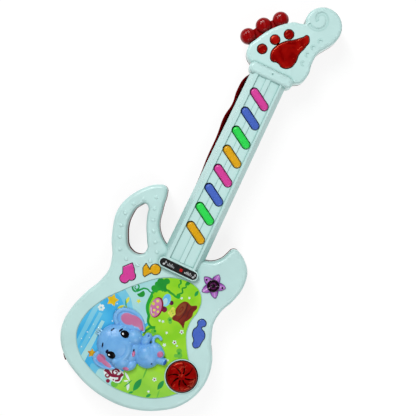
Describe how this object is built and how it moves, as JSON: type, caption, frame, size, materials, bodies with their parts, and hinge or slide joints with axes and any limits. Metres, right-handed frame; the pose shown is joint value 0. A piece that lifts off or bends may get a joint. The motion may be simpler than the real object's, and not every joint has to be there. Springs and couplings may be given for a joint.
{
  "type": "toy electric guitar",
  "caption": "Toy electric guitar with neck keys, shaped tune buttons, a round drum button, printed scene with elephant relief and battery bay.",
  "frame": {"origin": "on the flat back face, on the neck's centre line, behind the middle of the label plate", "axes": "+Y up the neck to the headstock, +X to the right seen from the front, +Z out of the front face"},
  "size_m": [0.1479, 0.4273, 0.0467],
  "materials": {
    "shell_front": "pale aqua moulded ABS, satin gloss",
    "shell_back": "dark red moulded ABS",
    "screw_steel": "zinc-plated steel",
    "cell_jacket": "plain printed jacket",
    "contact_metal": "nickel-plated",
    "speaker_steel": "pressed steel",
    "speaker_paper": "treated paper cone",
    "magnet": "ferrite",
    "board": "green glass-epoxy laminate",
    "chip_resin": "black resin blob",
    "board_component": "small parts",
    "rubber_grey": "silicone rubber",
    "lamp_clear": "clear epoxy",
    "key_pink": "glossy pink ABS",
    "key_blue": "glossy blue ABS",
    "key_green": "glossy green ABS",
    "key_yellow": "glossy amber yellow ABS",
    "red_lens": "translucent dark red",
    "purple_lens": "translucent purple",
    "label_black": "printed black label",
    "scene_print": "printed and varnished sticker",
    "elephant_blue": "glossy light blue moulding",
    "switch_black": "black",
    "cable_grey": "flat cable",
    "wire_red": "insulated wire"
  },
  "bodies": {
    "body": {"front_shell": "shell_front", "back_shell": "shell_back", "tuning_pegs": "shell_back", "case_screws": "screw_steel", "battery_cell_1": "cell_jacket", "battery_cell_2": "cell_jacket", "battery_cell_3": "cell_jacket", "battery_contacts": "contact_metal", "battery_springs": "contact_metal", "speaker_frame": "speaker_steel", "speaker_cone": "speaker_paper", "speaker_magnet": "magnet", "main_board": "board", "neck_board": "board", "lamp_board": "board", "sound_chip": "chip_resin", "board_parts": "board_component", "button_domes": "rubber_grey", "key_mat": "rubber_grey", "lamps": "lamp_clear", "paw_lens": "red_lens", "flower_lens": "purple_lens", "label_plate": "label_black", "scene_sticker": "scene_print", "elephant_figure": "elephant_blue", "power_switch": "switch_black", "neck_ribbon": "cable_grey", "speaker_wires": "wire_red", "battery_wires": "wire_red", "lamp_wires": "wire_red"},
    "key_1": {"key_1": "key_yellow"},
    "key_2": {"key_2": "key_green"},
    "key_3": {"key_3": "key_blue"},
    "key_4": {"key_4": "key_pink"},
    "key_5": {"key_5": "key_yellow"},
    "key_6": {"key_6": "key_green"},
    "key_7": {"key_7": "key_blue"},
    "key_8": {"key_8": "key_pink"},
    "note_button_pink": {"note_button_pink": "key_pink"},
    "note_button_yellow": {"note_button_yellow": "key_yellow"},
    "note_button_blue": {"note_button_blue": "key_blue"},
    "drum_button": {"drum_button": "red_lens"},
    "switch_knob": {"switch_knob": "switch_black"},
    "battery_door": {"battery_door": "shell_back", "door_screws": "screw_steel"}
  },
  "joints": [
    {"name": "key_1_press", "type": "slide", "parent": "body", "child": "key_1", "axis": [0, 0, -1], "range_m": [0, 0.0015], "stiffness_N_per_m": 220},
    {"name": "key_2_press", "type": "slide", "parent": "body", "child": "key_2", "axis": [0, 0, -1], "range_m": [0, 0.0015], "stiffness_N_per_m": 220},
    {"name": "key_3_press", "type": "slide", "parent": "body", "child": "key_3", "axis": [0, 0, -1], "range_m": [0, 0.0015], "stiffness_N_per_m": 220},
    {"name": "key_4_press", "type": "slide", "parent": "body", "child": "key_4", "axis": [0, 0, -1], "range_m": [0, 0.0015], "stiffness_N_per_m": 220},
    {"name": "key_5_press", "type": "slide", "parent": "body", "child": "key_5", "axis": [0, 0, -1], "range_m": [0, 0.0015], "stiffness_N_per_m": 220},
    {"name": "key_6_press", "type": "slide", "parent": "body", "child": "key_6", "axis": [0, 0, -1], "range_m": [0, 0.0015], "stiffness_N_per_m": 220},
    {"name": "key_7_press", "type": "slide", "parent": "body", "child": "key_7", "axis": [0, 0, -1], "range_m": [0, 0.0015], "stiffness_N_per_m": 220},
    {"name": "key_8_press", "type": "slide", "parent": "body", "child": "key_8", "axis": [0, 0, -1], "range_m": [0, 0.0015], "stiffness_N_per_m": 220},
    {"name": "note_button_pink_press", "type": "slide", "parent": "body", "child": "note_button_pink", "axis": [0, 0, -1], "range_m": [0, 0.0015], "stiffness_N_per_m": 220},
    {"name": "note_button_yellow_press", "type": "slide", "parent": "body", "child": "note_button_yellow", "axis": [0, 0, -1], "range_m": [0, 0.0015], "stiffness_N_per_m": 220},
    {"name": "note_button_blue_press", "type": "slide", "parent": "body", "child": "note_button_blue", "axis": [0, 0, -1], "range_m": [0, 0.0015], "stiffness_N_per_m": 220},
    {"name": "drum_button_press", "type": "slide", "parent": "body", "child": "drum_button", "axis": [0, 0, -1], "range_m": [0, 0.0015], "stiffness_N_per_m": 300},
    {"name": "power_switch_slide", "type": "slide", "parent": "body", "child": "switch_knob", "axis": [1, 0, 0], "range_m": [0, 0.004]},
    {"name": "battery_door_lift", "type": "slide", "parent": "body", "child": "battery_door", "axis": [0, 0, -1], "range_m": [0, 0.012]}
  ]
}
